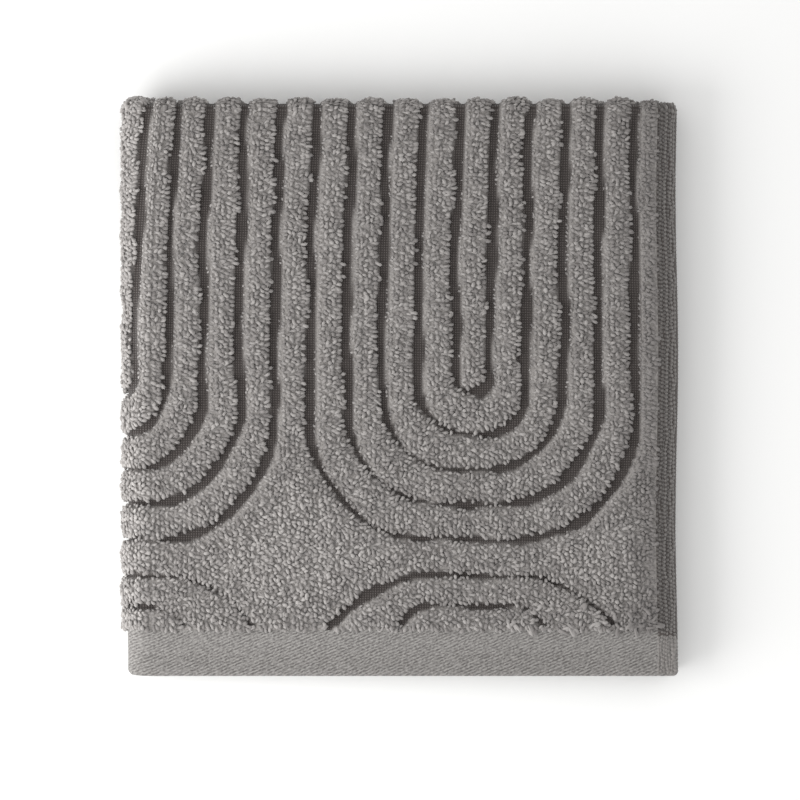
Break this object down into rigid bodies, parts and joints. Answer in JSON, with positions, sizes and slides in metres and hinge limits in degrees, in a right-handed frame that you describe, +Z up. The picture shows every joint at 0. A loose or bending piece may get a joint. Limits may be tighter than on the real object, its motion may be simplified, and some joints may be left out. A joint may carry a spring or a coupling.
{
  "type": "folded washcloth",
  "caption": "Terry washcloth folded in four, with sculpted pile ridges in nested rounded rectangles and flat woven hems.",
  "frame": {"origin": "under the middle of the folded cloth, on the surface that it lies on", "axes": "+Z up through the four layers; the first fold is the edge at +Y and the second fold the edge at -X, so the loose edges are at -Y and +X"},
  "size_m": [0.1616, 0.168, 0.0179],
  "materials": {
    "cotton_terry": "matt cotton loop pile, warm grey"
  },
  "bodies": {
    "root": {"washcloth": "cotton_terry"}
  },
  "joints": []
}
